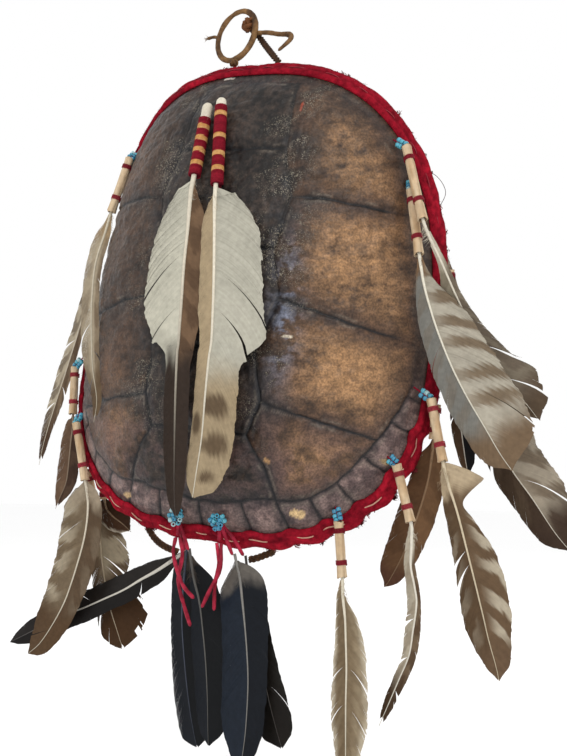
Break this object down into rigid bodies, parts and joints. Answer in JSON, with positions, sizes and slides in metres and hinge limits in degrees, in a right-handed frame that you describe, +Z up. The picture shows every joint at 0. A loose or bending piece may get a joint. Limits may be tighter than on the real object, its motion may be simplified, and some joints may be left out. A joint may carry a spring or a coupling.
{
  "type": "decorated turtle shell",
  "caption": "Domed snapping turtle carapace as a wall hanging: red wool edge binding, leather loop, and feathers hung in hide sleeves on turquoise bead strings.",
  "frame": {"origin": "top inside of the leather hanging loop, where a nail or hook carries the whole piece", "axes": "+Z up along the hanging piece, +Y from the outside of the shell to the wall behind it, +X to the viewer's right"},
  "size_m": [0.4532, 0.1086, 0.566],
  "materials": {
    "horn": "dark brown horn scutes on bone, worn and mottled, low gloss",
    "wool_binding": "felted red wool cloth with running stitches",
    "loop_leather": "tan leather thong",
    "dark_braid": "dark brown braided cord",
    "red_thong": "dyed red thong",
    "hide_sleeve": "pale hide with red thread bands",
    "beads": "opaque turquoise seed beads",
    "thread_wrap": "tight red thread winding with yellow bands",
    "white_feather": "off-white feather vane",
    "barred_feather": "taupe feather vane with pale bars",
    "brown_feather": "brown feather vane",
    "black_feather": "blue-black feather vane, silky"
  },
  "bodies": {
    "root": {"bead_bunch_left": "beads", "bead_bunch_right": "beads", "bottom_black_feather_1": "black_feather", "bottom_black_feather_2": "black_feather", "bottom_black_feather_3": "black_feather", "bottom_black_feather_4": "black_feather", "bottom_black_feather_left": "black_feather", "bottom_right_beads": "beads", "bottom_right_feather": "barred_feather", "bottom_right_sleeve": "hide_sleeve", "bottom_right_twisted_beads": "beads", "bottom_right_twisted_feather": "white_feather", "bottom_right_twisted_sleeve": "hide_sleeve", "centre_feather_left": "white_feather", "centre_feather_right": "white_feather", "centre_thread_wrap_left": "thread_wrap", "centre_thread_wrap_right": "thread_wrap", "edge_binding": "wool_binding", "hanging_braid": "dark_braid", "hanging_loop": "loop_leather", "hanging_loop_tail": "loop_leather", "left_lower_beads_front": "beads", "left_lower_feather_back": "brown_feather", "left_lower_feather_front": "barred_feather", "left_lower_feather_inner": "brown_feather", "left_lower_sleeve_back": "hide_sleeve", "left_lower_sleeve_front": "hide_sleeve", "left_lower_sleeve_inner": "hide_sleeve", "left_middle_beads": "beads", "left_middle_feather": "brown_feather", "left_middle_sleeve": "hide_sleeve", "left_upper_beads_back": "beads", "left_upper_beads_front": "beads", "left_upper_feather_back": "barred_feather", "left_upper_feather_front": "white_feather", "left_upper_sleeve_back": "hide_sleeve", "left_upper_sleeve_front": "hide_sleeve", "lower_braid_left": "dark_braid", "lower_braid_right": "dark_braid", "red_thong_left_long": "red_thong", "red_thong_left_short": "red_thong", "red_thong_right_cross": "red_thong", "red_thong_right_long": "red_thong", "right_lower_beads_front": "beads", "right_lower_feather_back": "brown_feather", "right_lower_feather_front": "barred_feather", "right_lower_sleeve_back": "hide_sleeve", "right_lower_sleeve_front": "hide_sleeve", "right_upper_beads_front": "beads", "right_upper_beads_middle": "beads", "right_upper_feather_back": "barred_feather", "right_upper_feather_front": "barred_feather", "right_upper_feather_inner": "black_feather", "right_upper_feather_middle": "barred_feather", "right_upper_sleeve_back": "hide_sleeve", "right_upper_sleeve_front": "hide_sleeve", "right_upper_sleeve_inner": "hide_sleeve", "right_upper_sleeve_middle": "hide_sleeve", "shell": "horn"}
  },
  "joints": []
}
